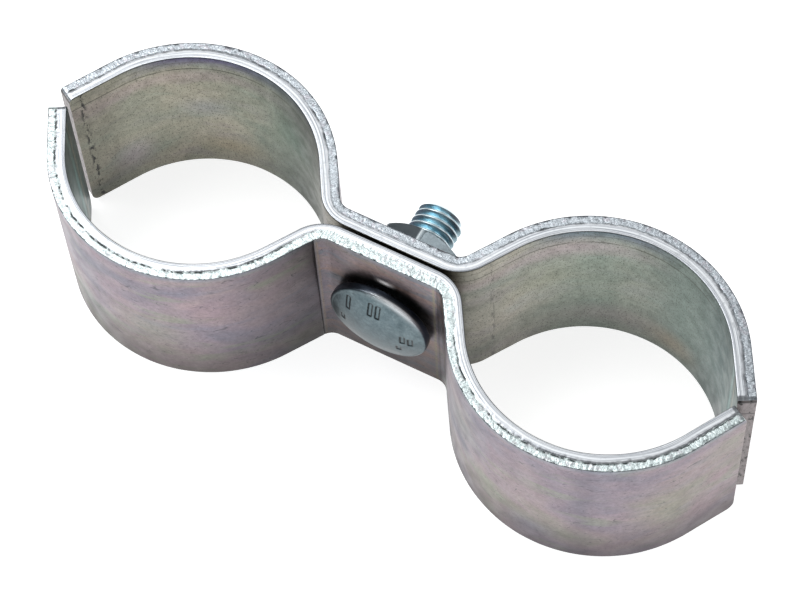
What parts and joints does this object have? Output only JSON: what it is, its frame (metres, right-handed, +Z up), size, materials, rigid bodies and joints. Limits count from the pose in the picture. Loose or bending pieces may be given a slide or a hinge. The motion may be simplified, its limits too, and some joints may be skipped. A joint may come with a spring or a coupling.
{
  "type": "double tube clamp",
  "caption": "Double tube clamp: two pressed zinc-plated steel strips hold parallel tubes side by side, drawn together by a carriage bolt and hex nut between them.",
  "frame": {"origin": "middle of the clamp's lower edge, midway between the two tube seats and on the parting plane", "axes": "+X across the two tube seats, +Y along the bolt from head to nut, +Z up along the tubes"},
  "size_m": [0.1202, 0.0426, 0.0304],
  "materials": {
    "zinc_strip": "satin zinc plate with a faint pink and green passivate tint",
    "zinc_bolt": "satin blue zinc plate",
    "zinc_nut": "dull grey zinc plate"
  },
  "bodies": {
    "front_half": {"front_clamp_half": "zinc_strip", "carriage_bolt": "zinc_bolt"},
    "rear_half": {"rear_clamp_half": "zinc_strip"},
    "nut": {"hex_nut": "zinc_nut"}
  },
  "joints": [
    {"name": "clamp_opening", "type": "slide", "parent": "front_half", "child": "rear_half", "axis": [0, 1, 0], "range_m": [0, 0.006]},
    {"name": "nut_spin", "type": "hinge", "parent": "rear_half", "child": "nut", "pos_m": [0, 0.0065, 0.0152], "axis": [0, 1, 0], "range_deg": [0, 1729]}
  ],
  "couplings": [
    {"joint": "nut_spin", "follows": "clamp_opening", "rad_per_m": 5026.5}
  ]
}
